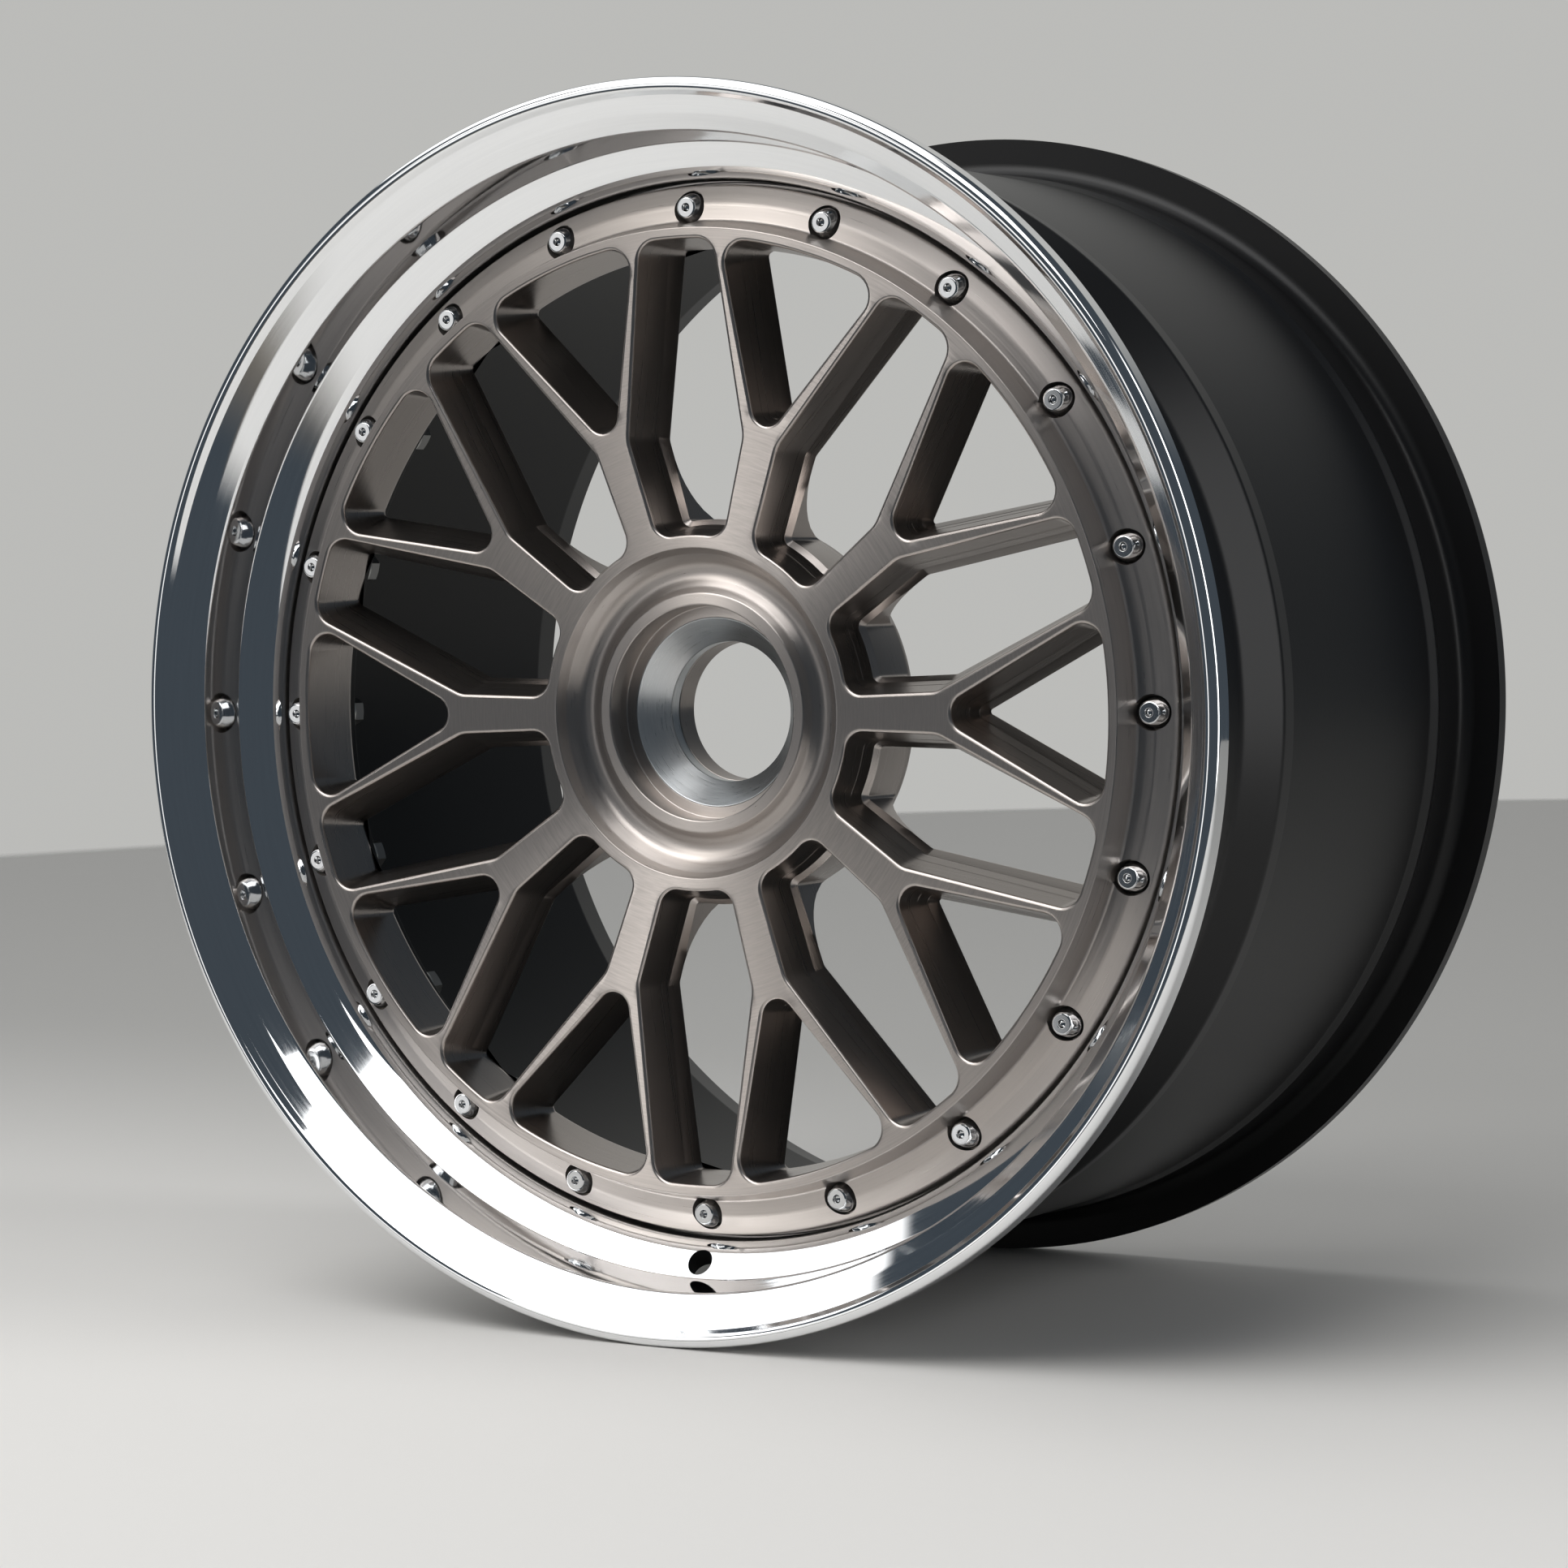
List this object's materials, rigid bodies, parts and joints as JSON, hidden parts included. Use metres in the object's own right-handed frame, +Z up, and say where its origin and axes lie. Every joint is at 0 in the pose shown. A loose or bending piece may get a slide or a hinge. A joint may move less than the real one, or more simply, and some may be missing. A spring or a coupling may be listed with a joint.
{
  "type": "split rim wheel",
  "caption": "Deep split rim car wheel: polished outer half, black inner half and a disc of forked spokes, bolted together in one ring, with a centre-lock hub.",
  "frame": {"origin": "middle of the rim width, on the wheel's axis", "axes": "+Y along the axis towards the vehicle, so the street side faces -Y; +Z up; the valve hole is at -Z"},
  "size_m": [0.522, 0.2994, 0.522],
  "materials": {
    "polished_lip": "polished to a mirror inside, black on the tyre side",
    "black_barrel": "satin black coating",
    "sealant": "cured sealant",
    "dark_titanium": "brushed, tinted clear coat",
    "bright_steel": "turned",
    "plain_steel": "zinc plated",
    "bolt_chrome": "bright",
    "nut_steel": "zinc plated"
  },
  "bodies": {
    "root": {"outer_rim_half": "polished_lip", "inner_rim_half": "black_barrel", "sealing_bead": "sealant", "centre_disc": "dark_titanium", "nut_seat_insert": "bright_steel", "drive_pin_bushes": "plain_steel", "rim_bolts": "bolt_chrome", "rim_washers": "plain_steel", "rim_nuts": "nut_steel"}
  },
  "joints": []
}
